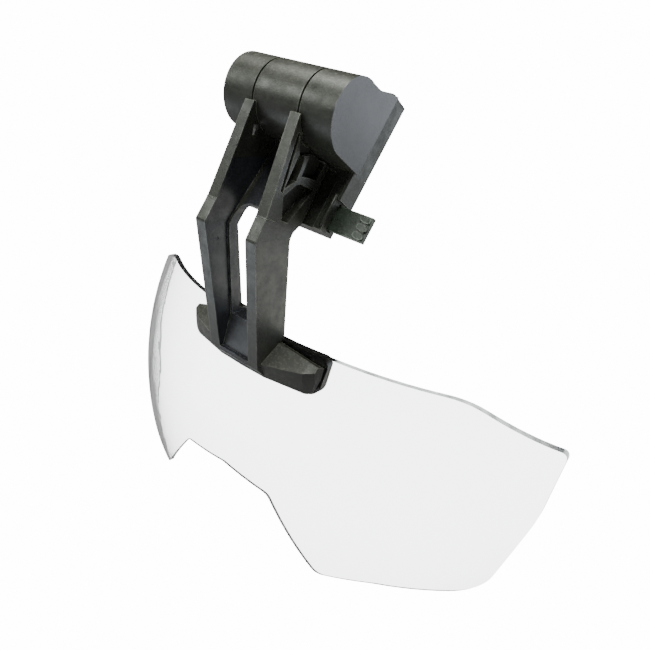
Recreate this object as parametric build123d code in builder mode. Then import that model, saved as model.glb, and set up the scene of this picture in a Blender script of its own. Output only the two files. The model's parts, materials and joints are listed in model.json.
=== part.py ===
from build123d import *
from math import asin, cos, radians, sin, sqrt
import os

# Head visor magnifier: a clear wrap-round lens on a friction-hinged swing arm, carried by a bracket
# that clips to the front of a headband. Millimetres.
# The frame: +Z is up with the lens hanging upright, -Y is the front, +X is the wearer's left.
# The origin is the centre of the bracket's back face, where it meets the headband.

LEAN = 30.0                 # the bracket's plate leans back by this much when the lens is upright

# Hinge, along X
BARREL_R = 7.5
EAR_OUTER = 13.5            # half length of the whole barrel
EAR_INNER = 5.95            # inner face of each ear
ARM_BARREL_HALF = 5.5       # half length of the arm's own barrel, between the friction discs
BOLT_R = 1.5
BORE_R = 1.6
BUSH_R = 2.5
BOLT_HEAD_R = 2.75
COUNTERBORE_R = 3.1
COUNTERBORE_FLOOR = 8.4     # distance of the counterbore's floor from the middle
NUT_FLATS = 5.5
NUT_DEPTH = 2.4
DISC_R = 6.6
DISC_FACE = 5.58            # inner face of each friction disc
DISC_THICK = 0.32

# Bracket plate, measured from the hinge: A is the distance behind it, V the height along the plate
PLATE_FRONT_A = 8.3
PLATE_BACK_A = 13.3
PLATE_FRONT_HALF = 12.95    # half width of the plate at its front
PLATE_TOP_V = 10.9
PLATE_BOTTOM_V = -19.8
PLATE_MID_V = (PLATE_TOP_V + PLATE_BOTTOM_V) / 2
NECK_V = -12.9              # below this the plate's sides are stepped in for the release tabs
NECK_HALF = 12.3
RAIL_INNER = 10.3           # the front is sunk between the two side rails
SUNK_DEPTH = 0.8
COVER_THICK = 1.2
CAVITY_A = 10.0             # front wall of the latch cavity
CAVITY_HALF = 11.1
CAVITY_TOP_V = -10.2
CAVITY_BOTTOM_V = -19.1
COVER_TOP_V = 9.7
COVER_SCREWS = ((9.1, 7.2), (-9.1, 7.2), (9.1, -7.5), (-9.1, -7.5))     # (X, V)
COVER_SCREW_R = 0.8
COVER_SCREW_HEAD_R = 1.5
COVER_SCREW_LENGTH = 3.5

# Release tabs
TAB_END = 20.6
TAB_BOTTOM_V = -18.8
TAB_TOP_V = -13.4
TAB_A = 10.5                # front face of the tab
TAB_THICK = 1.0
TAB_STEM = 5.6              # inner end of each latch
SHOULDER_END = 10.8
SHOULDER_TOP_V = -10.6
TAB_TRAVEL = 2.5
HOOK_X = 6.6                # inner face of the hook that reaches out through the rear cover
HOOK_WIDTH = 1.6
HOOK_LIP = 0.8
HOOK_REACH = 2.2
HOOK_V = -16.1
HOOK_TALL = 3.0
SPRING_R = 0.75
SPRING_WIRE = 0.28
SPRING_TURNS = 6
SPRING_V = -14.6
SPRING_GAP = 0.05
POST_HALF = 0.9

# Swing arm, measured from the hinge in the frame's own Y and Z
KNEE = (-16.2, -24.0)       # foremost point of the arm
FOOT = (-8.1, -54.0)        # bottom of the front strips
CHANNEL_TOP_HALF = 4.5      # half width of the channel between the two ribs
CHANNEL_KNEE_HALF = 5.45
CHANNEL_FOOT_HALF = 4.3
RIB_TOP_HALF = 6.8          # outer faces of the ribs
RIB_KNEE_HALF = 8.05
RIB_FOOT_HALF = 7.0
WEB_LEDGE = 0.5             # the slot is narrower than the channel by this much on each side
WEB_THICK = 2.1
SLOT_TOP = -20.3
SLOT_BOTTOM = -45.4
WEB_MID = (-9.4, -28.6)     # the web's front face beside the slot
WEB_LOW = (-6.1, -45.6)
POCKET_FLOOR = 5.9          # floors of the pockets in the ribs' outer sides
EAR_GAP = 0.4               # running gap between the ribs and the bracket's ears

# Lens: a piece of a toric shell, turned about an upright axis behind the eyes
LENS_TURN_R = 83.5          # radius of the front face about the upright axis
LENS_ARC_R = 90.0           # radius of the front face in the upright section
LENS_AXIS_Y = 77.0          # the axis, behind the hinge
LENS_MID_Z = -78.6          # the height at which the front face is foremost
LENS_THICK = 1.3
LENS_TOP = -48.0
LENS_HALF_TURN = 60.0

# Lens clamp: a jaw moulded on the arm in front, a curved bar behind
JAW_HALF = 18.6
JAW_BOTTOM = -56.9
BAR_TOP = -49.2             # top and bottom of the bar behind the lens
BAR_BOTTOM = -57.5
CLAMP_SCREW_X = 10.6
CLAMP_SCREW_Z = -52.9
CLAMP_SCREW_R = 1.0
CLAMP_SCREW_HEAD_R = 1.7
CLAMP_INSERT_R = 1.35
CLAMP_INSERT_LONG = 2.0
CLAMP_BAR_THICK = 1.9
FACE_GAP = 0.05             # between faces that are screwed together

os.makedirs("parts", exist_ok=True)

lean = radians(LEAN)
back_dir = Vector(0, cos(lean), -sin(lean))
plate_up = Vector(0, sin(lean), cos(lean))
hinge = -(back_dir * PLATE_BACK_A) - plate_up * PLATE_MID_V
x_dir = Vector(1, 0, 0)

# Sketch planes. The side planes face +X, the front planes face the viewer, the plan looks down the plate.
bracket_side = Plane(origin=hinge, x_dir=back_dir, z_dir=x_dir)
bracket_front = Plane(origin=hinge, x_dir=x_dir, z_dir=-back_dir)
bracket_plan = Plane(origin=hinge, x_dir=x_dir, z_dir=plate_up)
arm_side = Plane(origin=hinge, x_dir=(0, 1, 0), z_dir=x_dir)
arm_front = Plane(origin=hinge, x_dir=x_dir, z_dir=(0, -1, 0))
lens_axis = Axis(hinge + Vector(0, LENS_AXIS_Y, 0), (0, 0, 1))


def turned_section(half_turn):
    """The plane of an upright section that starts half_turn degrees to one side of the middle."""
    a = radians(half_turn)
    forward = Vector(-sin(a), -cos(a), 0)
    return Plane(origin=lens_axis.position, x_dir=forward, z_dir=(-cos(a), sin(a), 0))


def shell_radius(z, depth=0.0):
    """Distance of the lens face, or of a face behind it by depth, from the upright axis."""
    arc = LENS_ARC_R - depth
    return LENS_TURN_R - LENS_ARC_R + sqrt(arc**2 - (z - LENS_MID_Z)**2)


def shell_arc(z_start, z_end, depth=0.0):
    """The upright section of the lens face between two heights."""
    z_mid = (z_start + z_end) / 2
    points = [(shell_radius(z, depth), z) for z in (z_start, z_mid, z_end)]
    return ThreePointArc(*points)


def save(part, label):
    part.label = label
    export_step(part, f"parts/{label}.step")
    print(f"{label}: {part.volume:.1f} mm3, {len(part.solids())} solids")


def x_rod(radius, start, end, mode=Mode.ADD):
    """A round bar along the hinge axis, inside the part being built."""
    with BuildSketch(bracket_side.offset(start)) as section:
        Circle(radius)
    extrude(section.sketch, amount=end - start, dir=x_dir, mode=mode)


# Bracket body: the plate and the two ears, one moulding -------------------------------------------

with BuildPart() as bracket_body:
    with BuildSketch(bracket_side.offset(EAR_INNER)) as ear_outline:
        with BuildLine():
            top = Polyline((0, BARREL_R), (2.6, 7.95), (8.8, 10.7), (PLATE_FRONT_A + 1, 10.85))
            drop = Line(top @ 1, (PLATE_FRONT_A + 1, -6.8))
            base = Line(drop @ 1, (0, -BARREL_R))
            ThreePointArc(base @ 1, (-BARREL_R, 0), top @ 0)
        make_face()
    extrude(amount=EAR_OUTER - EAR_INNER)
    mirror(about=Plane.YZ)
    # The plate's sides draw in towards the front.
    with BuildSketch(bracket_plan.offset(PLATE_BOTTOM_V)):
        with BuildLine():
            Polyline(
                (-EAR_OUTER, PLATE_BACK_A), (EAR_OUTER, PLATE_BACK_A),
                (PLATE_FRONT_HALF, PLATE_FRONT_A + 0.4), (PLATE_FRONT_HALF - 0.4, PLATE_FRONT_A),
                (0.4 - PLATE_FRONT_HALF, PLATE_FRONT_A),
                (-PLATE_FRONT_HALF, PLATE_FRONT_A + 0.4), close=True,
            )
        make_face()
    extrude(amount=PLATE_TOP_V - PLATE_BOTTOM_V)
    # The sides are stepped in where the release tabs come out.
    neck_drop = NECK_V - PLATE_BOTTOM_V + 1
    with BuildSketch(bracket_front.offset(-PLATE_BACK_A)):
        with Locations((NECK_HALF + 2, NECK_V - neck_drop / 2), (-NECK_HALF - 2, NECK_V - neck_drop / 2)):
            Rectangle(4, neck_drop)
    extrude(amount=PLATE_BACK_A, mode=Mode.SUBTRACT)
    # The front is sunk between the rails, for the arm to lie against.
    sunk_top = -7.6
    with BuildSketch(bracket_front.offset(-PLATE_FRONT_A)):
        with Locations((0, (sunk_top + PLATE_BOTTOM_V - 4) / 2)):
            RectangleRounded(2 * RAIL_INNER, sunk_top - PLATE_BOTTOM_V + 4, 2.4)
    extrude(amount=-SUNK_DEPTH, mode=Mode.SUBTRACT)
    # Seat of the rear cover, and the cavity that the two latches slide in.
    with BuildSketch(bracket_front.offset(-PLATE_BACK_A)):
        with Locations((0, (COVER_TOP_V + CAVITY_BOTTOM_V) / 2)):
            RectangleRounded(2 * CAVITY_HALF, COVER_TOP_V - CAVITY_BOTTOM_V, 1)
    extrude(amount=COVER_THICK, mode=Mode.SUBTRACT)
    with BuildSketch(bracket_front.offset(-PLATE_BACK_A)):
        with Locations((0, (CAVITY_TOP_V + CAVITY_BOTTOM_V) / 2)):
            RectangleRounded(2 * CAVITY_HALF, CAVITY_TOP_V - CAVITY_BOTTOM_V, 0.8)
    extrude(amount=PLATE_BACK_A - CAVITY_A, mode=Mode.SUBTRACT)
    with BuildSketch(bracket_front.offset(-PLATE_BACK_A + COVER_THICK)):
        with Locations((0, (CAVITY_TOP_V + CAVITY_BOTTOM_V) / 2)):
            Rectangle(2 * POST_HALF, CAVITY_TOP_V - CAVITY_BOTTOM_V)
    extrude(amount=PLATE_BACK_A - COVER_THICK - CAVITY_A)
    # Pegs on the post, one for each latch spring.
    with BuildSketch(bracket_side.offset(-POST_HALF - 0.9)):
        with Locations((TAB_A + TAB_THICK / 2, SPRING_V)):
            Circle(SPRING_R - SPRING_WIRE / 2 - 0.1)
    extrude(amount=2 * POST_HALF + 1.8)
    # Windows in the sides for the tabs.
    with BuildSketch(bracket_side.offset(-EAR_OUTER)):
        with Locations((TAB_A + TAB_THICK / 2, (TAB_TOP_V + TAB_BOTTOM_V) / 2)):
            Rectangle(TAB_THICK + 0.6, TAB_TOP_V - TAB_BOTTOM_V + 0.6)
    extrude(amount=2 * EAR_OUTER - 2 * CAVITY_HALF, mode=Mode.SUBTRACT)
    with BuildSketch(bracket_side.offset(EAR_OUTER)):
        with Locations((TAB_A + TAB_THICK / 2, (TAB_TOP_V + TAB_BOTTOM_V) / 2)):
            Rectangle(TAB_THICK + 0.6, TAB_TOP_V - TAB_BOTTOM_V + 0.6)
    extrude(amount=-2 * EAR_OUTER + 2 * CAVITY_HALF, mode=Mode.SUBTRACT)
    # Coring behind each ear, reached from the cover seat.
    with BuildSketch(bracket_front.offset(-PLATE_BACK_A)):
        with Locations((9.4, 0), (-9.4, 0)):
            RectangleRounded(4.2, 9.4, 0.8)
    extrude(amount=PLATE_BACK_A - 5.2, mode=Mode.SUBTRACT)
    # Hinge bores: the bolt's counterbore on the wearer's right, the nut's hexagon on the left.
    x_rod(BORE_R, -EAR_OUTER, -EAR_INNER, Mode.SUBTRACT)
    x_rod(COUNTERBORE_R, -EAR_OUTER, -COUNTERBORE_FLOOR, Mode.SUBTRACT)
    x_rod(BORE_R, EAR_INNER, 10.2, Mode.SUBTRACT)
    with BuildSketch(bracket_side.offset(EAR_INNER)):
        RegularPolygon(NUT_FLATS / 2 + 0.1, 6, major_radius=False)
    extrude(amount=NUT_DEPTH + 0.2, mode=Mode.SUBTRACT)
    # Pilot holes for the rear cover's screws.
    with BuildSketch(bracket_front.offset(-PLATE_BACK_A + COVER_THICK)):
        with Locations(*COVER_SCREWS):
            Circle(COVER_SCREW_R)
    extrude(amount=COVER_SCREW_LENGTH - COVER_THICK + 0.3, mode=Mode.SUBTRACT)

save(bracket_body.part, "bracket_body")


# Rear cover: closes the latch cavity and lies against the headband --------------------------------

with BuildPart() as bracket_rear_cover:
    with BuildSketch(bracket_front.offset(-PLATE_BACK_A)):
        with Locations((0, (COVER_TOP_V + CAVITY_BOTTOM_V) / 2)):
            RectangleRounded(2 * CAVITY_HALF - 0.2, COVER_TOP_V - CAVITY_BOTTOM_V - 0.2, 1)
    extrude(amount=COVER_THICK - FACE_GAP)
    # Slots that the latch hooks reach out through.
    slot_mid = HOOK_X + HOOK_WIDTH + HOOK_LIP - (HOOK_WIDTH + HOOK_LIP + TAB_TRAVEL) / 2
    with BuildSketch(bracket_front.offset(-PLATE_BACK_A)):
        with Locations((slot_mid, HOOK_V), (-slot_mid, HOOK_V)):
            Rectangle(HOOK_WIDTH + HOOK_LIP + TAB_TRAVEL + 0.6, HOOK_TALL + 0.6)
    extrude(amount=COVER_THICK, mode=Mode.SUBTRACT)
    with Locations(Plane(origin=hinge + back_dir * PLATE_BACK_A, x_dir=x_dir, z_dir=back_dir)):
        with Locations(*[(x, -v) for x, v in COVER_SCREWS]):
            CounterSinkHole(COVER_SCREW_R + 0.1, COVER_SCREW_HEAD_R + 0.1, COVER_THICK + 1)

save(bracket_rear_cover.part, "bracket_rear_cover")

with BuildPart() as rear_cover_screws:
    for x, v in COVER_SCREWS:
        seat = hinge + back_dir * (PLATE_BACK_A - 0.1) + x_dir * x + plate_up * v
        head = COVER_SCREW_HEAD_R - COVER_SCREW_R
        with BuildSketch(Plane(origin=seat, x_dir=x_dir, z_dir=-plate_up)):
            with BuildLine():
                Polyline(
                    (0, 0), (COVER_SCREW_HEAD_R, 0), (COVER_SCREW_R, head),
                    (COVER_SCREW_R, COVER_SCREW_LENGTH - 0.6), (0, COVER_SCREW_LENGTH), close=True,
                )
            make_face()
        revolve(axis=Axis(seat, back_dir))

save(rear_cover_screws.part, "rear_cover_screws")


# Release latches and their springs ----------------------------------------------------------------


def build_latch(side):
    """One release latch: a thin sliding plate with a ribbed tab outside and a hook at the back."""
    with BuildPart() as latch:
        with BuildSketch(bracket_front.offset(-TAB_A)):
            with Locations(((TAB_STEM + TAB_END) / 2 * side, (TAB_TOP_V + TAB_BOTTOM_V) / 2)):
                Rectangle(TAB_END - TAB_STEM, TAB_TOP_V - TAB_BOTTOM_V)
            with Locations(((TAB_STEM + SHOULDER_END) / 2 * side, (SHOULDER_TOP_V + TAB_BOTTOM_V) / 2)):
                Rectangle(SHOULDER_END - TAB_STEM, SHOULDER_TOP_V - TAB_BOTTOM_V)
        extrude(amount=-TAB_THICK)
        # Three rounded grip ribs along the outer end.
        with BuildSketch(bracket_front.offset(-TAB_A)):
            with GridLocations(0, 1.75, 1, 3):
                with Locations(((TAB_END - 1.3) * side, (TAB_TOP_V + TAB_BOTTOM_V) / 2)):
                    RectangleRounded(2.4, 1.3, 0.6, rotation=-12 * side)
        extrude(amount=0.6)
        # The hook: a post through the rear cover with a lip that faces outwards.
        with BuildSketch(bracket_front.offset(-TAB_A - TAB_THICK)):
            with Locations(((HOOK_X + HOOK_WIDTH / 2) * side, HOOK_V)):
                Rectangle(HOOK_WIDTH, HOOK_TALL)
        extrude(amount=-(PLATE_BACK_A + HOOK_REACH - TAB_A - TAB_THICK))
        with BuildSketch(bracket_front.offset(-PLATE_BACK_A - HOOK_REACH)):
            with Locations(((HOOK_X + HOOK_WIDTH + HOOK_LIP / 2) * side, HOOK_V)):
                Rectangle(HOOK_LIP, HOOK_TALL)
        extrude(amount=HOOK_REACH / 2)
    return latch.part


def build_latch_spring(side):
    """A compression spring between the cavity's middle post and a latch."""
    length = TAB_STEM - POST_HALF - 2 * SPRING_GAP - SPRING_WIRE
    start = hinge + back_dir * (TAB_A + TAB_THICK / 2) + plate_up * SPRING_V
    start = start + x_dir * (POST_HALF + SPRING_GAP + SPRING_WIRE / 2) * side
    with BuildPart() as spring:
        with BuildLine():
            coil = Helix(length / SPRING_TURNS, length, SPRING_R, center=start, direction=x_dir * side)
        with BuildSketch(Plane(origin=coil @ 0, z_dir=coil % 0)):
            Circle(SPRING_WIRE / 2)
        sweep()
    return spring.part


for side, name in ((1, "left"), (-1, "right")):
    save(build_latch(side), f"release_tab_{name}")
    save(build_latch_spring(side), f"latch_spring_{name}")


# Hinge hardware -----------------------------------------------------------------------------------

with BuildPart() as hinge_bolt:
    x_rod(BOLT_R, -11.6, 9.6)
    x_rod(BOLT_HEAD_R, -11.6, -9.7)
    with BuildSketch(bracket_side.offset(-11.6)):
        RegularPolygon(1.25, 6, major_radius=False)
    extrude(amount=1.2, mode=Mode.SUBTRACT)

save(hinge_bolt.part, "hinge_bolt")

with BuildPart() as hinge_nut:
    with BuildSketch(bracket_side.offset(EAR_INNER + 0.1)):
        RegularPolygon(NUT_FLATS / 2, 6, major_radius=False)
        Circle(BOLT_R, mode=Mode.SUBTRACT)
    extrude(amount=NUT_DEPTH)

save(hinge_nut.part, "hinge_nut")

with BuildPart() as hinge_spring_washers:
    # Two dished washers, back to back under the bolt's head.
    for base, lift in ((-COUNTERBORE_FLOOR - 0.02, -0.34), (-9.68, 0.34)):
        thick = -0.28 if lift < 0 else 0.28
        with BuildSketch(Plane(origin=hinge, x_dir=x_dir, z_dir=(0, -1, 0))):
            with BuildLine():
                Polyline(
                    (base, 2.9), (base + thick, 2.9), (base + thick + lift, BORE_R), (base + lift, BORE_R),
                    close=True,
                )
            make_face()
        revolve(axis=Axis(hinge, x_dir))

save(hinge_spring_washers.part, "hinge_spring_washers")

with BuildPart() as hinge_end_cap:
    x_rod(COUNTERBORE_R, -EAR_OUTER, -EAR_OUTER + 1.4)

save(hinge_end_cap.part, "hinge_end_cap")

for side, name in ((1, "left"), (-1, "right")):
    with BuildPart() as disc:
        with BuildSketch(bracket_side.offset(DISC_FACE * side)):
            Circle(DISC_R)
            Circle(BORE_R, mode=Mode.SUBTRACT)
        extrude(amount=DISC_THICK * side)
    save(disc.part, f"friction_disc_{name}")

with BuildPart() as hinge_bush:
    x_rod(BUSH_R, -ARM_BARREL_HALF, ARM_BARREL_HALF)
    x_rod(BOLT_R + 0.04, -ARM_BARREL_HALF, ARM_BARREL_HALF, Mode.SUBTRACT)

save(hinge_bush.part, "hinge_bush")

with BuildPart() as arm_rest_bumper:
    with BuildSketch(bracket_front.offset(-PLATE_FRONT_A - SUNK_DEPTH)):
        with Locations((0, -13.4)):
            RectangleRounded(5.0, 5.0, 0.8)
    extrude(amount=0.75)

save(arm_rest_bumper.part, "arm_rest_bumper")


# Swing arm ----------------------------------------------------------------------------------------


def from_plate(a, v):
    """A point of the bracket's side plane, in the arm's side plane."""
    return (a * cos(lean) + v * sin(lean), v * cos(lean) - a * sin(lean))


def side_block(points, start, end, mode=Mode.SUBTRACT):
    """A prism with an outline in the arm's side plane, between two stations on X."""
    with BuildSketch(arm_side.offset(start)) as section:
        with BuildLine():
            Polyline(*points, close=True)
        make_face()
    extrude(section.sketch, amount=end - start, dir=x_dir, mode=mode)


def keep_between(halves):
    """Trim the part being built to a symmetric width given as (half width, height) pairs."""
    right = [(-half, z) for half, z in reversed(halves)]
    with BuildSketch(arm_front.offset(40)) as front_view:
        with BuildLine():
            Polyline(*halves, *right, close=True)
        make_face()
    extrude(front_view.sketch, amount=80, dir=(0, 1, 0), mode=Mode.INTERSECT)


def clamp_frame(side, depth):
    """A plane on the lens at one clamp screw, its normal straight out of the front face."""
    rise = CLAMP_SCREW_Z - LENS_MID_Z
    reach = sqrt((LENS_ARC_R - depth)**2 - rise**2)
    turn = asin(CLAMP_SCREW_X / (LENS_TURN_R - LENS_ARC_R + reach)) * side
    out = Vector(sin(turn), -cos(turn), 0)
    normal = out * reach + Vector(0, 0, rise)
    foot = lens_axis.position + out * (LENS_TURN_R - LENS_ARC_R + reach) + Vector(0, 0, CLAMP_SCREW_Z)
    return Plane(origin=foot, x_dir=(cos(turn), sin(turn), 0), z_dir=normal)


def clamp_rods(radius, start, end, mode=Mode.SUBTRACT):
    """Round bars at both clamp screws, from start to end ahead of the lens's front face."""
    for side in (1, -1):
        frame = clamp_frame(side, 0)
        with BuildSketch(frame.offset(start)) as section:
            Circle(radius)
        extrude(section.sketch, amount=end - start, dir=frame.z_dir, mode=mode)


with BuildPart() as channel_space:
    # Everything in front of the web, between the ribs.
    side_block(
        (
            (-30, 6), (-30, -53.0), (-7.4, -53.0), WEB_LOW, WEB_MID, (-10.0, -24.8), (-4.4, -16.3),
            (0.2, -9.0), (0.2, 6),
        ),
        -6, 6, Mode.ADD,
    )
    keep_between((
        (CHANNEL_TOP_HALF, 8), (CHANNEL_TOP_HALF, 0), (CHANNEL_KNEE_HALF, KNEE[1]),
        (CHANNEL_FOOT_HALF, FOOT[1]), (CHANNEL_FOOT_HALF, -60),
    ))

with BuildPart() as rear_space:
    # Behind the web the ribs are thinner, so that the leg has an H section.
    side_block(
        (
            (-4.7, -20.6), (WEB_MID[0] + WEB_THICK - 0.6, -25.9), (WEB_MID[0] + WEB_THICK, WEB_MID[1]),
            (WEB_LOW[0] + WEB_THICK, WEB_LOW[1] + 1), (8, WEB_LOW[1] + 1), (8, -20.6),
        ),
        -7, 7, Mode.ADD,
    )
    keep_between((
        (CHANNEL_KNEE_HALF + 0.9, -20), (CHANNEL_KNEE_HALF + 0.9, KNEE[1]), (CHANNEL_FOOT_HALF + 1.1, FOOT[1]),
    ))

with BuildPart() as lens_space:
    # The lens's place: everything behind its front face, below its top edge.
    with BuildSketch(turned_section(15)):
        with BuildLine():
            face = shell_arc(LENS_TOP + 0.1, -62, -FACE_GAP)
            Polyline(face @ 1, (70, -62), (70, LENS_TOP + 0.1), face @ 0)
        make_face()
    revolve(axis=lens_axis, revolution_arc=30)

with BuildPart() as jaw:
    # Bevelled bar along the lens's top edge: a straight ridge, a front face that draws back towards the ends.
    sections = (
        (0, ((3, -49.4), (-2.3, -48.7), (-6.9, -52.9), (-5.2, JAW_BOTTOM))),
        (6.6, ((3, -49.4), (-2.3, -48.8), (-7.4, -52.8), (-5.0, JAW_BOTTOM))),
        (16.2, ((3, -51.5), (-2.3, -49.5), (-4.7, -51.4), (-2.8, JAW_BOTTOM))),
        (JAW_HALF + 0.3, ((3, -51.5), (-2.3, -49.8), (-2.8, -50.5), (-1.9, JAW_BOTTOM))),
    )
    for side in (1, -1):
        for inner, outer in zip(sections[:-1], sections[1:]):
            for x, front in (inner, outer):
                with BuildSketch(arm_side.offset(x * side)):
                    with BuildLine():
                        Polyline(*front, (3, JAW_BOTTOM), close=True)
                    make_face()
            loft(ruled=True)
    # Rounded ends, seen from the front.
    with BuildSketch(arm_front.offset(40)):
        with BuildLine():
            FilletPolyline(
                (JAW_HALF - 0.5, -48), (JAW_HALF, -53), (JAW_HALF - 0.6, JAW_BOTTOM),
                (0.6 - JAW_HALF, JAW_BOTTOM), (-JAW_HALF, -53), (0.5 - JAW_HALF, -48),
                radius=2, close=True,
            )
        make_face()
    extrude(amount=-80, mode=Mode.INTERSECT)

with BuildPart() as swing_arm:
    rest_a = PLATE_FRONT_A - 0.3
    with BuildSketch(arm_side.offset(-RIB_KNEE_HALF)):
        with BuildLine():
            outline = FilletPolyline(
                (-4, -0.8), (-8.1, -0.8), (-13.9, -19.4), KNEE, FOOT,
                (-4.6, JAW_BOTTOM), (-1.0, JAW_BOTTOM), (-0.9, -47.6), (-6.3, -23.6),
                from_plate(rest_a, -20.4), from_plate(rest_a, -2.0), (2, 1),
                radius=(0.1, 0.1, 1.0, 1.0, 0.8, 0.1, 0.1, 0.1, 2.4, 0.6, 0.6, 0.1), close=True,
            )
        make_face()
    extrude(amount=2 * RIB_KNEE_HALF)
    # Widest at the knee, narrower towards the foot.
    keep_between((
        (RIB_TOP_HALF, 8), (RIB_TOP_HALF, 0), (RIB_KNEE_HALF, KNEE[1]), (RIB_FOOT_HALF, FOOT[1]),
        (RIB_FOOT_HALF, -60),
    ))
    add(channel_space.part, mode=Mode.SUBTRACT)
    add(rear_space.part, mode=Mode.SUBTRACT)
    # The slot through the web, round at the top.
    slot_half = CHANNEL_KNEE_HALF - WEB_LEDGE
    slot_foot = CHANNEL_FOOT_HALF - WEB_LEDGE + 0.3
    with BuildSketch(arm_front.offset(40)) as slot:
        with BuildLine():
            Polyline(
                (slot_half, SLOT_TOP), (slot_foot, SLOT_BOTTOM), (-slot_foot, SLOT_BOTTOM),
                (-slot_half, SLOT_TOP), close=True,
            )
        make_face()
        fillet(slot.vertices().group_by(Axis.Y)[-1], radius=2.6)
    extrude(amount=-80, mode=Mode.SUBTRACT)
    # Cored outer sides of the ribs, with thin stiffeners left standing, and a small window at the top.
    for side in (1, -1):
        outer, floor, skin = 9 * side, POCKET_FLOOR * side, (CHANNEL_TOP_HALF + 0.8) * side
        side_block(((-7.9, -4.0), (-7.2, -4.4), (-10.2, -15.0), (-10.9, -14.6)), outer, floor)
        side_block(((-6.9, -8.2), (-4.6, -8.2), (-6.7, -12.9), (-9.9, -14.3)), outer, floor)
        side_block(
            ((-9.9, -15.6), (-6.5, -13.7), (-5.2, -13.6), (-0.8, -14.9), (-7.6, -20.9), (-9.6, -20.3)),
            outer, floor,
        )
        side_block(((-3.6, -8.2), (0.2, -8.2), (1.9, -9.9), (-0.4, -12.9), (-5.2, -12.1)), outer, floor)
        side_block(((-7.3, -4.4), (-3.0, -4.4), (-1.0, -8.3), (-6.7, -8.3)), outer, skin)
        side_block(((-7.0, -5.2), (-5.6, -5.2), (-5.9, -7.2), (-7.0, -7.4)), outer, 4 * side)
        # The ribs stand outside the bracket's ears and must clear them.
        ear_face = ARM_BARREL_HALF * side
        with BuildSketch(arm_side.offset(ear_face)):
            Circle(BARREL_R + EAR_GAP)
        extrude(amount=3 * side, mode=Mode.SUBTRACT)
        side_block(
            ((0, 0), from_plate(0, -BARREL_R - EAR_GAP), from_plate(12, -7.0), from_plate(12, 0)),
            ear_face, 9 * side,
        )
    x_rod(BARREL_R, -ARM_BARREL_HALF, ARM_BARREL_HALF)
    # Shallow cores in the back of the web.
    with BuildSketch(bracket_front.offset(-rest_a)):
        with Locations((2.9, -14.0), (-2.9, -14.0)):
            RectangleRounded(2.4, 7.0, 0.5)
    extrude(amount=2.0, mode=Mode.SUBTRACT)
    add(jaw.part)
    add(lens_space.part, mode=Mode.SUBTRACT)
    x_rod(BUSH_R, -ARM_BARREL_HALF, ARM_BARREL_HALF, Mode.SUBTRACT)
    clamp_rods(CLAMP_INSERT_R, 0, CLAMP_INSERT_LONG + 0.2)

save(swing_arm.part, "swing_arm")


# Lens and its clamp -------------------------------------------------------------------------------

with BuildPart() as lens:
    with BuildSketch(turned_section(LENS_HALF_TURN)):
        with BuildLine():
            front = shell_arc(-47, -107)
            back = shell_arc(-47, -107, LENS_THICK)
            Line(front @ 0, back @ 0)
            Line(front @ 1, back @ 1)
        make_face()
    revolve(axis=lens_axis, revolution_arc=2 * LENS_HALF_TURN)
    # Outline seen from the front: two lobes with a notch for the nose between them.
    with BuildSketch(arm_front.offset(40)):
        with BuildLine():
            half = FilletPolyline(
                (0, LENS_TOP), (46, -49.3), (66.3, -58.7), (66.0, -75), (61.0, -99.2), (40, -101.6),
                (27.3, -105.1), (13.6, -85.2), (0, -83.4), radius=(20, 2.6, 30, 8, 8, 2.5, 3),
            )
            mirror(half, about=Plane.YZ)
        make_face()
    extrude(amount=-110, mode=Mode.INTERSECT)
    clamp_rods(CLAMP_SCREW_R + 0.1, -LENS_THICK - 1, 1)

save(lens.part, "lens")

with BuildPart() as lens_clamp_bar:
    with BuildSketch(turned_section(14)):
        with BuildLine():
            front = shell_arc(BAR_TOP + 1, BAR_BOTTOM - 1, LENS_THICK + FACE_GAP)
            back = shell_arc(BAR_TOP + 1, BAR_BOTTOM - 1, LENS_THICK + CLAMP_BAR_THICK)
            Line(front @ 0, back @ 0)
            Line(front @ 1, back @ 1)
        make_face()
    revolve(axis=lens_axis, revolution_arc=28)
    with BuildSketch(arm_front.offset(40)):
        with Locations((0, (BAR_TOP + BAR_BOTTOM) / 2)):
            RectangleRounded(2 * JAW_HALF, BAR_TOP - BAR_BOTTOM, 2.4)
    extrude(amount=-80, mode=Mode.INTERSECT)
    clamp_back = -LENS_THICK - CLAMP_BAR_THICK
    clamp_rods(CLAMP_SCREW_R + 0.1, clamp_back - 1, 0)
    clamp_rods(CLAMP_SCREW_HEAD_R + 0.2, clamp_back - 1, clamp_back + 1)

save(lens_clamp_bar.part, "lens_clamp_bar")

with BuildPart() as lens_clamp_screws:
    seat = clamp_back + 1.0
    clamp_rods(CLAMP_SCREW_R, seat - 0.5, CLAMP_INSERT_LONG - 0.1, Mode.ADD)
    clamp_rods(CLAMP_SCREW_HEAD_R, seat - 1.25, seat - 0.02, Mode.ADD)
    # Hexagon sockets.
    for side in (1, -1):
        with BuildSketch(clamp_frame(side, 0).offset(seat - 1.25)):
            RegularPolygon(0.75, 6, major_radius=False)
        extrude(amount=0.8, mode=Mode.SUBTRACT)

save(lens_clamp_screws.part, "lens_clamp_screws")

with BuildPart() as lens_clamp_inserts:
    clamp_rods(CLAMP_INSERT_R, 0.1, CLAMP_INSERT_LONG, Mode.ADD)
    clamp_rods(CLAMP_SCREW_R, 0, CLAMP_INSERT_LONG + 1)

save(lens_clamp_inserts.part, "lens_clamp_inserts")
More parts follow.
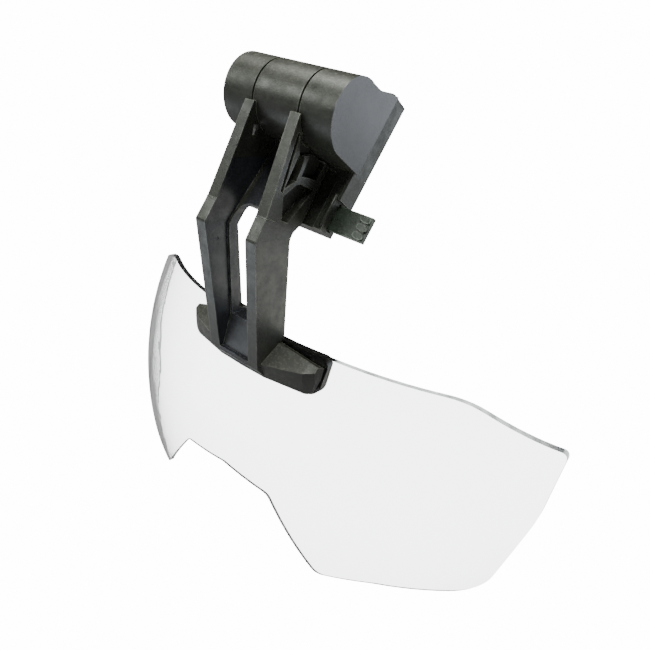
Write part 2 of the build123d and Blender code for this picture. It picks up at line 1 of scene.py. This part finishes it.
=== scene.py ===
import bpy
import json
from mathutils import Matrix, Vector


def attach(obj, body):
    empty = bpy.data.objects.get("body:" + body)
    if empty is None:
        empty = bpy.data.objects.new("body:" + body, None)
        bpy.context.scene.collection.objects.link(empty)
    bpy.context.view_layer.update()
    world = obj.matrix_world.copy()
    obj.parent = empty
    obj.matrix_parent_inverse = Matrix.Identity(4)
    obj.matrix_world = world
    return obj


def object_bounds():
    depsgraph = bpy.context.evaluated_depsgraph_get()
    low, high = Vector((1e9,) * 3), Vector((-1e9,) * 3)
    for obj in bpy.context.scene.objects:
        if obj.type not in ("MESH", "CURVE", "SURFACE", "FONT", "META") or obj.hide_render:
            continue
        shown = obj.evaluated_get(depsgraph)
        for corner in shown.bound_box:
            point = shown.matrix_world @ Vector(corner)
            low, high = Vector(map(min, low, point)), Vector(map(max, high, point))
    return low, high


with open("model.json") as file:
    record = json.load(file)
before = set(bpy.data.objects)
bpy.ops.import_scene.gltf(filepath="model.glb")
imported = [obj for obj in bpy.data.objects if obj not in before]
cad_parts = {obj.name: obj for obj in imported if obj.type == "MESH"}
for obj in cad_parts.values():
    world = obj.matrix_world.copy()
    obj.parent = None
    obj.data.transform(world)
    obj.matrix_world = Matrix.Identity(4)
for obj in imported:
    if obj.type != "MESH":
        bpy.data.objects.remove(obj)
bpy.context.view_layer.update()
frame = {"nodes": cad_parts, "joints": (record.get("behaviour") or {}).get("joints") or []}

import json
import math

import bmesh
import bpy
from mathutils import Matrix, Vector

MM = 0.001
NODES = frame["nodes"]


# Materials ----------------------------------------------------------------------------------------


class Graph:
    """A material's node tree, built by short calls."""

    def __init__(self, name):
        self.material = bpy.data.materials.new(name)
        self.material.use_nodes = True
        self.nodes = self.material.node_tree.nodes
        self.links = self.material.node_tree.links
        self.shader = self.nodes["Principled BSDF"]
        own = self.nodes.new("ShaderNodeTexCoord").outputs
        self.place = own["Object"]
        self.facing = own["Normal"]      # in the piece's own space, so it doesn't change as the piece moves

    def add(self, kind, inputs=(), **settings):
        node = self.nodes.new(kind)
        for key, value in settings.items():
            setattr(node, key, value)
        for key, value in dict(inputs).items():
            if isinstance(value, bpy.types.NodeSocket):
                self.links.new(value, node.inputs[key])
            else:
                node.inputs[key].default_value = value
        return node

    def set(self, **values):
        for key, value in values.items():
            socket = self.shader.inputs[key.replace("_", " ")]
            if isinstance(value, bpy.types.NodeSocket):
                self.links.new(value, socket)
            else:
                socket.default_value = value

    def noise(self, size, detail=2.0, rough=0.5, vector=None):
        """Noise whose lumps are about this many metres across."""
        inputs = {"Vector": vector or self.place, "Scale": 1 / size, "Detail": detail, "Roughness": rough}
        return self.add("ShaderNodeTexNoise", inputs).outputs["Fac"]

    def remap(self, value, low, high, to_low, to_high):
        inputs = {"Value": value, "From Min": low, "From Max": high, "To Min": to_low, "To Max": to_high}
        return self.add("ShaderNodeMapRange", inputs).outputs["Result"]

    def maths(self, operation, a, b=0.0):
        return self.add("ShaderNodeMath", {0: a, 1: b}, operation=operation).outputs[0]

    def dot(self, a, b):
        return self.add("ShaderNodeVectorMath", {0: a, 1: b}, operation="DOT_PRODUCT").outputs["Value"]

    def mix(self, factor, a, b):
        node = self.add("ShaderNodeMix", {"Factor": factor, "A": a, "B": b}, data_type="RGBA")
        return node.outputs["Result"]

    def bump(self, height, depth, normal=None):
        inputs = {"Height": height, "Distance": depth, "Strength": 1.0}
        if normal is not None:
            inputs["Normal"] = normal
        return self.add("ShaderNodeBump", inputs).outputs["Normal"]


def rgb(r, g, b):
    return (r, g, b, 1.0)


def moulded(name, dark, light, rough, grain=0.24 * MM, depth=0.022 * MM, coat=0.0, wear_and_highlight=0.8, polished_and_reflection=None,
            channel=None):
    """Injection-moulded plastic: spark-eroded grain, flow marks, nicks, scuffs, edge wear with a painted
    highlight along the edges, some dust.

    The end-face argument is (half width, back direction, how far back, colour) of the end faces, which are
    smoother; that colour is a painted bluish reflection.
    channel is (half width, height of its top, tint) of the space between the arm's ribs, where the tint is
    a painted bluish shade.
    """
    g = Graph(name)
    flow = g.noise(11 * MM, 4.0, 0.6)
    cloud = g.noise(1.6 * MM, 4.0, 0.6)
    blend = g.maths("ADD", g.maths("MULTIPLY", flow, 0.5), g.maths("MULTIPLY", cloud, 0.5))
    tone = g.remap(blend, 0.40, 0.61, 0.0, 1.0)
    colour = g.mix(tone, rgb(*dark), rgb(*light))
    # Edges wear a little paler, unevenly, and are paler still where a painted highlight runs along them.
    rounded = g.add("ShaderNodeBevel", {"Radius": 0.45 * MM}, samples=6).outputs["Normal"]
    flat = g.add("ShaderNodeNewGeometry").outputs["Normal"]
    along = g.dot(rounded, flat)
    edge = g.remap(along, 0.80, 0.985, 1.0, 0.0)
    patchy = g.remap(g.noise(3.2 * MM, 3.0, 0.65), 0.42, 0.60, 0.10, 1.0)
    rubbed_and_highlit = g.maths("MULTIPLY", g.maths("MULTIPLY", edge, patchy), wear_and_highlight)
    wear_and_highlight_tone = tuple(min(1.0, c * 4.6 + 0.04) for c in light)
    colour = g.mix(rubbed_and_highlit, colour, rgb(*wear_and_highlight_tone))
    # Fine scuffs run along the piece, as it slides in a pocket or a case.
    long = {"Vector": g.place, "Rotation": (0.3, 0.2, 0.5), "Scale": (0.07, 1.0, 1.0)}
    drawn = g.add("ShaderNodeMapping", long).outputs["Vector"]
    scuff = g.remap(g.noise(0.42 * MM, 2.0, 0.5, drawn), 0.66, 0.74, 0.0, 1.0)
    scuff = g.maths("MULTIPLY", scuff, g.remap(flow, 0.48, 0.62, 0.0, 0.22 * wear_and_highlight))
    colour = g.mix(scuff, colour, rgb(*wear_and_highlight_tone))
    # Dust lies on faces that point up.
    up = g.add("ShaderNodeSeparateXYZ", {"Vector": g.facing}).outputs["Z"]
    lying = g.remap(up, 0.30, 1.0, 0.0, 0.16)
    specks = g.remap(g.noise(0.42 * MM, 2.0, 0.7), 0.55, 0.64, 0.0, 1.0)
    colour = g.mix(g.maths("MULTIPLY", lying, specks), colour, rgb(0.30, 0.30, 0.26))
    # A few nicks and pits, in some cells of a loose pattern only.
    cells = g.add("ShaderNodeTexVoronoi", {"Vector": g.place, "Scale": 230.0})
    chosen = g.add("ShaderNodeSeparateColor", {"Color": cells.outputs["Color"]}).outputs["Red"]
    pit = g.remap(cells.outputs["Distance"], 0.03, 0.075, 1.0, 0.0)
    pit = g.maths("MULTIPLY", pit, g.maths("GREATER_THAN", chosen, 0.72))
    uneven = g.remap(g.noise(3 * MM, 4.0, 0.65), 0.32, 0.68, rough - 0.09, rough + 0.11)
    rough_here = g.maths("SUBTRACT", uneven, g.maths("MULTIPLY", rubbed_and_highlit, 0.16))
    if channel:
        # Between the arm's ribs, below the top, the colour is multiplied darker and bluish: a painted
        # shade.
        half_width, top, shade_tint = channel
        place = g.add("ShaderNodeSeparateXYZ", {"Vector": g.place}).outputs
        sideways = g.add("ShaderNodeSeparateXYZ", {"Vector": g.facing}).outputs["X"]
        inward = g.maths("LESS_THAN", g.maths("MULTIPLY", place["X"], sideways), -2 * MM)
        centre = g.maths("LESS_THAN", g.maths("ABSOLUTE", place["X"]), half_width)
        below = g.maths("LESS_THAN", place["Z"], top)
        in_shade = g.maths("MULTIPLY", g.maths("MAXIMUM", inward, centre), below)
        tint = {"Factor": in_shade, "A": colour, "B": rgb(*shade_tint)}
        colour = g.add("ShaderNodeMix", tint, data_type="RGBA", blend_type="MULTIPLY").outputs["Result"]
    if polished_and_reflection:
        # The mould's end faces are smoother than its textured sides, and their greyer, bluish colour is a
        # painted reflection.
        beyond, back_dir, limit, reflection_blue = polished_and_reflection
        across = g.add("ShaderNodeSeparateXYZ", {"Vector": g.place}).outputs["X"]
        at_end = g.maths("GREATER_THAN", g.maths("ABSOLUTE", across), beyond)
        behind = g.dot(g.place, back_dir)
        end_face_mask = g.maths("MULTIPLY", at_end, g.maths("LESS_THAN", behind, limit))
        streaks = g.remap(g.noise(6 * MM, 4.0, 0.7), 0.35, 0.65, 0.0, 1.0)
        painted_reflection = g.mix(streaks, rgb(*reflection_blue), rgb(*tuple(c * 1.12 for c in reflection_blue)))
        kept = g.maths("MULTIPLY", end_face_mask, g.remap(rubbed_and_highlit, 0.0, 0.5, 1.0, 0.4))
        colour = g.mix(kept, colour, painted_reflection)
        even = g.remap(g.noise(10 * MM, 2.0, 0.5), 0.35, 0.65, rough - 0.10, rough - 0.05)
        rough_here = g.maths("ADD", g.maths("MULTIPLY", kept, even),
                             g.maths("MULTIPLY", g.maths("SUBTRACT", 1.0, kept), rough_here))
    g.set(Base_Color=colour, Roughness=rough_here)
    fine = g.bump(g.noise(grain, 2.0, 0.55), depth)
    wavy = g.bump(g.noise(4.5 * MM, 2.0, 0.5), 0.04 * MM, fine)
    g.set(Normal=g.bump(g.maths("SUBTRACT", 1.0, pit), 0.12 * MM, wavy))
    g.shader.inputs["Specular IOR Level"].default_value = 0.5
    g.shader.inputs["Coat Weight"].default_value = coat
    g.shader.inputs["Coat Roughness"].default_value = 0.22
    return g.material


def metal(name, base, rough):
    """Plated or turned metal with faint tool marks and stains."""
    g = Graph(name)
    stretched = g.add("ShaderNodeMapping", {"Vector": g.place, "Scale": (0.1, 1.0, 1.0)}).outputs["Vector"]
    marks = g.noise(0.25 * MM, 2.0, 0.6, stretched)
    stain = g.remap(g.noise(1.6 * MM, 3.0, 0.6), 0.35, 0.65, 0.0, 1.0)
    dull = tuple(c * 0.72 for c in base)
    g.set(Base_Color=g.mix(stain, rgb(*dull), rgb(*base)))
    g.set(Roughness=g.remap(marks, 0.3, 0.7, rough - 0.05, rough + 0.12))
    g.set(Normal=g.bump(marks, 0.006 * MM))
    g.shader.inputs["Metallic"].default_value = 1.0
    return g.material


def clear_lens(name, centre):
    """Polished clear acrylic with the faintest handling marks, duller where it is cut, and painted dark
    there as a painted shade.
    """
    g = Graph(name)
    # The shell is near enough a ball about this centre: its sawn edges face away from the radius.
    outward = g.add("ShaderNodeVectorMath", {0: g.place, 1: centre}, operation="SUBTRACT").outputs["Vector"]
    outward = g.add("ShaderNodeVectorMath", {0: outward}, operation="NORMALIZE").outputs["Vector"]
    across = g.dot(outward, g.facing)
    cut = g.remap(g.maths("ABSOLUTE", across), 0.90, 0.97, 1.0, 0.0)
    # The cut edges are painted near black, streaked, as a painted shade.
    streak = g.remap(g.noise(4 * MM, 3.0, 0.6), 0.35, 0.65, 0.0, 1.0)
    cut_edge_shade = g.mix(streak, rgb(0.015, 0.018, 0.017), rgb(0.09, 0.10, 0.095))
    g.set(Base_Color=g.mix(cut, rgb(0.93, 0.945, 0.94), cut_edge_shade))
    smear = g.remap(g.noise(12 * MM, 4.0, 0.6), 0.50, 0.80, 0.0, 0.045)
    g.set(Roughness=g.maths("ADD", smear, g.maths("MULTIPLY", cut, 0.30)))
    g.set(Normal=g.bump(g.noise(20 * MM, 1.0, 0.4), 0.02 * MM))
    g.shader.inputs["Transmission Weight"].default_value = 1.0
    g.shader.inputs["IOR"].default_value = 1.49
    return g.material


LEAN = math.radians(30)
BACK_DIR = (0.0, math.cos(LEAN), -math.sin(LEAN))    # straight out of the bracket's back face
# The bracket's end faces are smoother, and their colour is a painted bluish reflection.
BRACKET = moulded("bracket_plastic", (0.0085, 0.0098, 0.0070), (0.019, 0.0215, 0.0158), 0.42,
                  polished_and_reflection=(13.35 * MM, BACK_DIR, -3.9 * MM, (0.020, 0.022, 0.0275)))
# The arm's colour is painted darker and bluish between its ribs as a painted shade.
ARM = moulded("arm_plastic", (0.0088, 0.0096, 0.0074), (0.0195, 0.0210, 0.0160), 0.39,
              channel=(4.1 * MM, -1 * MM, (0.62, 0.62, 1.0)))
COVER = moulded("cover_plastic", (0.014, 0.016, 0.014), (0.025, 0.027, 0.024), 0.52,
                grain=0.28 * MM, depth=0.03 * MM)
TAB = moulded("tab_plastic", (0.011, 0.0165, 0.0115), (0.023, 0.032, 0.024), 0.34, coat=0.15)
DISC = moulded("disc_plastic", (0.012, 0.012, 0.012), (0.02, 0.02, 0.02), 0.45)
BUSH = moulded("bush_plastic", (0.60, 0.58, 0.52), (0.72, 0.70, 0.64), 0.35, wear_and_highlight=0.1)
RUBBER = moulded("rubber_pad", (0.012, 0.012, 0.012), (0.022, 0.022, 0.022), 0.75,
                 grain=0.3 * MM, depth=0.03 * MM)
STEEL = metal("plated_steel", (0.62, 0.62, 0.63), 0.28)
SPRING = metal("spring_steel", (0.48, 0.48, 0.50), 0.22)
BRASS = metal("brass_metal", (0.78, 0.60, 0.30), 0.25)
LENS = clear_lens("clear_lens", (0.0, 67.7 * MM, -68.1 * MM))

FINISHES = {
    "bracket_body": BRACKET,
    "bracket_rear_cover": COVER,
    "rear_cover_screws": STEEL,
    "hinge_bolt": STEEL,
    "hinge_nut": BRASS,
    "hinge_spring_washers": SPRING,
    "hinge_end_cap": BRACKET,
    "friction_disc_left": DISC,
    "friction_disc_right": DISC,
    "hinge_bush": BUSH,
    "swing_arm": ARM,
    "lens_clamp_bar": ARM,
    "lens_clamp_screws": STEEL,
    "lens_clamp_inserts": BRASS,
    "lens": LENS,
    "release_tab_left": TAB,
    "release_tab_right": TAB,
    "latch_spring_left": SPRING,
    "latch_spring_right": SPRING,
    "arm_rest_bumper": RUBBER,
}
for node, material in FINISHES.items():
    piece = NODES[node]
    if not piece.material_slots:
        piece.data.materials.append(material)
    for slot in piece.material_slots:
        slot.link = "OBJECT"
        slot.material = material


SOFTEN_ABOVE_DEG = 32


def soften(node, width):
    """Rounds a CAD node's sharp edges as a mould does."""
    bevel = NODES[node].modifiers.new("soft_edges", "BEVEL")
    bevel.width = width * MM
    bevel.segments = 2
    bevel.limit_method = "ANGLE"
    bevel.angle_limit = math.radians(SOFTEN_ABOVE_DEG)
    bevel.use_clamp_overlap = True
    bevel.harden_normals = True
    bevel.miter_outer = "MITER_ARC"


for node, width in (("bracket_body", 0.38), ("swing_arm", 0.25), ("lens", 0.15), ("lens_clamp_bar", 0.35),
                    ("release_tab_left", 0.12), ("release_tab_right", 0.12), ("bracket_rear_cover", 0.2)):
    soften(node, width)


# Small moulded details ----------------------------------------------------------------------------


def tube(name, points, radius, body, material, sides=8, closed=False):
    """A thin round bead along a line of points, half sunk in the face that it lies on."""
    build = bmesh.new()
    count = len(points)
    rings = []
    for i, point in enumerate(points):
        before = points[(i - 1) % count] if closed or i else point
        after = points[(i + 1) % count] if closed or i < count - 1 else point
        turn = (after - before).normalized().to_track_quat("Z", "Y")
        taper = 1.0 if closed or 0 < i < count - 1 else 0.35
        rings.append([
            build.verts.new(point + turn @ Vector((math.cos(a), math.sin(a), 0.0)) * radius * taper)
            for a in (2 * math.pi * k / sides for k in range(sides))])
    pairs = list(zip(rings, rings[1:] + rings[:1])) if closed else list(zip(rings[:-1], rings[1:]))
    for one, two in pairs:
        for k in range(sides):
            build.faces.new((one[k], one[(k + 1) % sides], two[(k + 1) % sides], two[k]))
    if not closed:
        build.faces.new(rings[0][::-1])
        build.faces.new(rings[-1])
    mesh = bpy.data.meshes.new(name)
    build.to_mesh(mesh)
    build.free()
    for face in mesh.polygons:
        face.use_smooth = True
    piece = bpy.data.objects.new(name, mesh)
    bpy.context.scene.collection.objects.link(piece)
    piece.data.materials.append(material)
    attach(piece, body)
    return piece


hinge = Vector(next(joint["pos_m"] for joint in frame["joints"] if joint["name"] == "arm_hinge"))

# The mould's parting line crosses each rib at the upper bend.
for side, where in ((1, "left"), (-1, "right")):
    across_rib = [(5.35, -14.02, -19.62), (7.86, -14.02, -19.62),
                  (7.87, -12.6, -19.85), (7.90, -10.9, -20.45)]
    path = [hinge + Vector((x * side, y, z)) * MM for x, y, z in across_rib]
    tube(f"parting_line_{where}", path, 0.11 * MM, "arm", ARM)

# A raised guide stands on the plate's front beside each tab.
plate_up = Vector((0.0, math.sin(LEAN), math.cos(LEAN)))
back_dir = Vector(BACK_DIR)
PLATE_FRONT_A = 8.3          # mm behind the hinge, square to the plate
GUIDE_X = 11.9
GUIDE_V = (-11.8, -12.3, -15.5, -18.6, -19.1)
for side, where in ((1, "left"), (-1, "right")):
    on_front = hinge + (back_dir * PLATE_FRONT_A + Vector((GUIDE_X * side, 0.0, 0.0))) * MM
    path = [on_front + plate_up * v * MM for v in GUIDE_V]
    tube(f"tab_guide_{where}", path, 0.5 * MM, "bracket", BRACKET, sides=12)

# Rings left by the ejector pins in the back of the rear cover.
COVER_BACK_A = 13.26
EJECTOR_R = 1.3
RING_POINTS = 28
for index, (x, v) in enumerate(((4.6, 2.6), (-4.6, 2.6), (0.0, -4.2))):
    centre = hinge + (back_dir * COVER_BACK_A + plate_up * v + Vector((x, 0.0, 0.0))) * MM
    ring = [centre + (Vector((1, 0, 0)) * math.cos(a) + plate_up * math.sin(a)) * EJECTOR_R * MM
            for a in (2 * math.pi * k / RING_POINTS for k in range(RING_POINTS))]
    tube(f"ejector_ring_{index + 1}", ring, 0.09 * MM, "bracket", COVER, closed=True)


# Camera, floor and light --------------------------------------------------------------------------

CAMERA_AT = Vector((75.71, -104.42, 19.60)) * MM
LOOK_AT = Vector((0.0, 17.01, -41.81)) * MM
CAMERA_ROLL = 12.23          # degrees, clockwise as seen in the picture
FOCAL_MM = 32.65

camera_data = bpy.data.cameras.new("camera")
camera_data.lens = FOCAL_MM
camera_data.sensor_width = 36.0
camera_data.shift_x = -0.0036
camera_data.shift_y = -0.0131
camera_data.clip_start = 0.005
camera_data.clip_end = 20.0
camera = bpy.data.objects.new("camera", camera_data)
bpy.context.scene.collection.objects.link(camera)
camera.rotation_mode = "QUATERNION"
camera.location = CAMERA_AT
aim = (LOOK_AT - CAMERA_AT).to_track_quat("-Z", "Y").to_matrix()
camera.rotation_quaternion = (aim @ Matrix.Rotation(math.radians(CAMERA_ROLL), 3, "Z")).to_quaternion()
bpy.context.scene.camera = camera

low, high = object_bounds()
middle = (low + high) / 2


SEEN_WHITE = 15.0            # brightness of the backdrop to the camera
LENS_WHITE = 6.2             # straight through the lens
FLOOR_LIGHT = 0.50           # as a light from below
ROOM_LIGHT = 0.06            # as a light from all round


def seen_or_lit(nodes, links, lit_strength):
    """How bright a backdrop is: to the camera, straight through the lens, and to all that it lights."""
    path = nodes.new("ShaderNodeLightPath")
    bounced = nodes.new("ShaderNodeMath")
    bounced.operation = "ADD"
    links.new(path.outputs["Diffuse Depth"], bounced.inputs[0])
    links.new(path.outputs["Glossy Depth"], bounced.inputs[1])
    straight = nodes.new("ShaderNodeMath")
    straight.operation = "LESS_THAN"
    straight.inputs[1].default_value = 0.5
    links.new(bounced.outputs[0], straight.inputs[0])
    through = nodes.new("ShaderNodeMix")
    through.inputs["A"].default_value = lit_strength
    through.inputs["B"].default_value = LENS_WHITE
    links.new(straight.outputs[0], through.inputs["Factor"])
    seen = nodes.new("ShaderNodeMix")
    seen.inputs["B"].default_value = SEEN_WHITE
    links.new(path.outputs["Is Camera Ray"], seen.inputs["Factor"])
    links.new(through.outputs["Result"], seen.inputs["A"])
    return seen.outputs["Result"]


def stage_floor(drop, radius):
    """A plain pale round floor below the object."""
    mesh = bpy.data.meshes.new("floor")
    count = 64
    ring = [(radius * math.cos(2 * math.pi * i / count), radius * math.sin(2 * math.pi * i / count), 0.0)
            for i in range(count)]
    mesh.from_pydata(ring, [], [list(range(count))])
    floor = bpy.data.objects.new("floor", mesh)
    floor.location = (middle.x, middle.y, low.z - drop)
    bpy.context.scene.collection.objects.link(floor)
    paint = bpy.data.materials.new("floor_paint")
    paint.use_nodes = True
    nodes = paint.node_tree.nodes
    nodes.clear()
    links = paint.node_tree.links
    glow = nodes.new("ShaderNodeEmission")
    links.new(seen_or_lit(nodes, links, FLOOR_LIGHT), glow.inputs["Strength"])
    links.new(glow.outputs["Emission"], nodes.new("ShaderNodeOutputMaterial").inputs["Surface"])
    floor.data.materials.append(paint)


FLOOR_DROP = 20 * MM         # the object floats this far above the floor
FLOOR_RADIUS = 4.0
stage_floor(FLOOR_DROP, FLOOR_RADIUS)


def soft_light(name, offset, size, watts, color, target=None):
    """A rectangular light at an offset in metres from the object's middle, unseen by the camera."""
    data = bpy.data.lights.new(name, "AREA")
    data.shape = "RECTANGLE"
    data.size, data.size_y = size
    data.energy = watts
    data.color = color
    light = bpy.data.objects.new(name, data)
    light.location = middle + Vector(offset)
    aim = (Vector(target) if target else middle) - light.location
    light.rotation_mode = "QUATERNION"
    light.rotation_quaternion = aim.to_track_quat("-Z", "Y")
    light.visible_camera = False
    light.visible_transmission = False
    bpy.context.scene.collection.objects.link(light)


soft_light("overhead", (-0.05, -0.12, 0.75), (0.8, 0.24), 17, (0.97, 1.0, 0.92))
soft_light("side", (0.50, 0.62, 0.04), (0.5, 0.5), 2.5, (0.88, 0.94, 1.0))
soft_light("front", (-0.42, -0.42, 0.34), (0.35, 0.22), 1.7, (0.96, 1.0, 0.93))
soft_light("front_bounce", (-0.032, -0.088, -0.071), (0.15, 0.11), 0.13, (0.88, 0.95, 1.0),
           target=(0.0, -0.02, -0.095))
soft_light("side_bounce", (0.085, 0.055, -0.071), (0.12, 0.12), 0.07, (0.97, 1.0, 0.90),
           target=(0.0, -0.02, -0.06))

world = bpy.data.worlds.new("studio")
world.use_nodes = True
backdrop = world.node_tree.nodes["Background"]
backdrop.inputs["Color"].default_value = (1, 1, 1, 1)
world.node_tree.links.new(
    seen_or_lit(world.node_tree.nodes, world.node_tree.links, ROOM_LIGHT),
    backdrop.inputs["Strength"])
bpy.context.scene.world = world
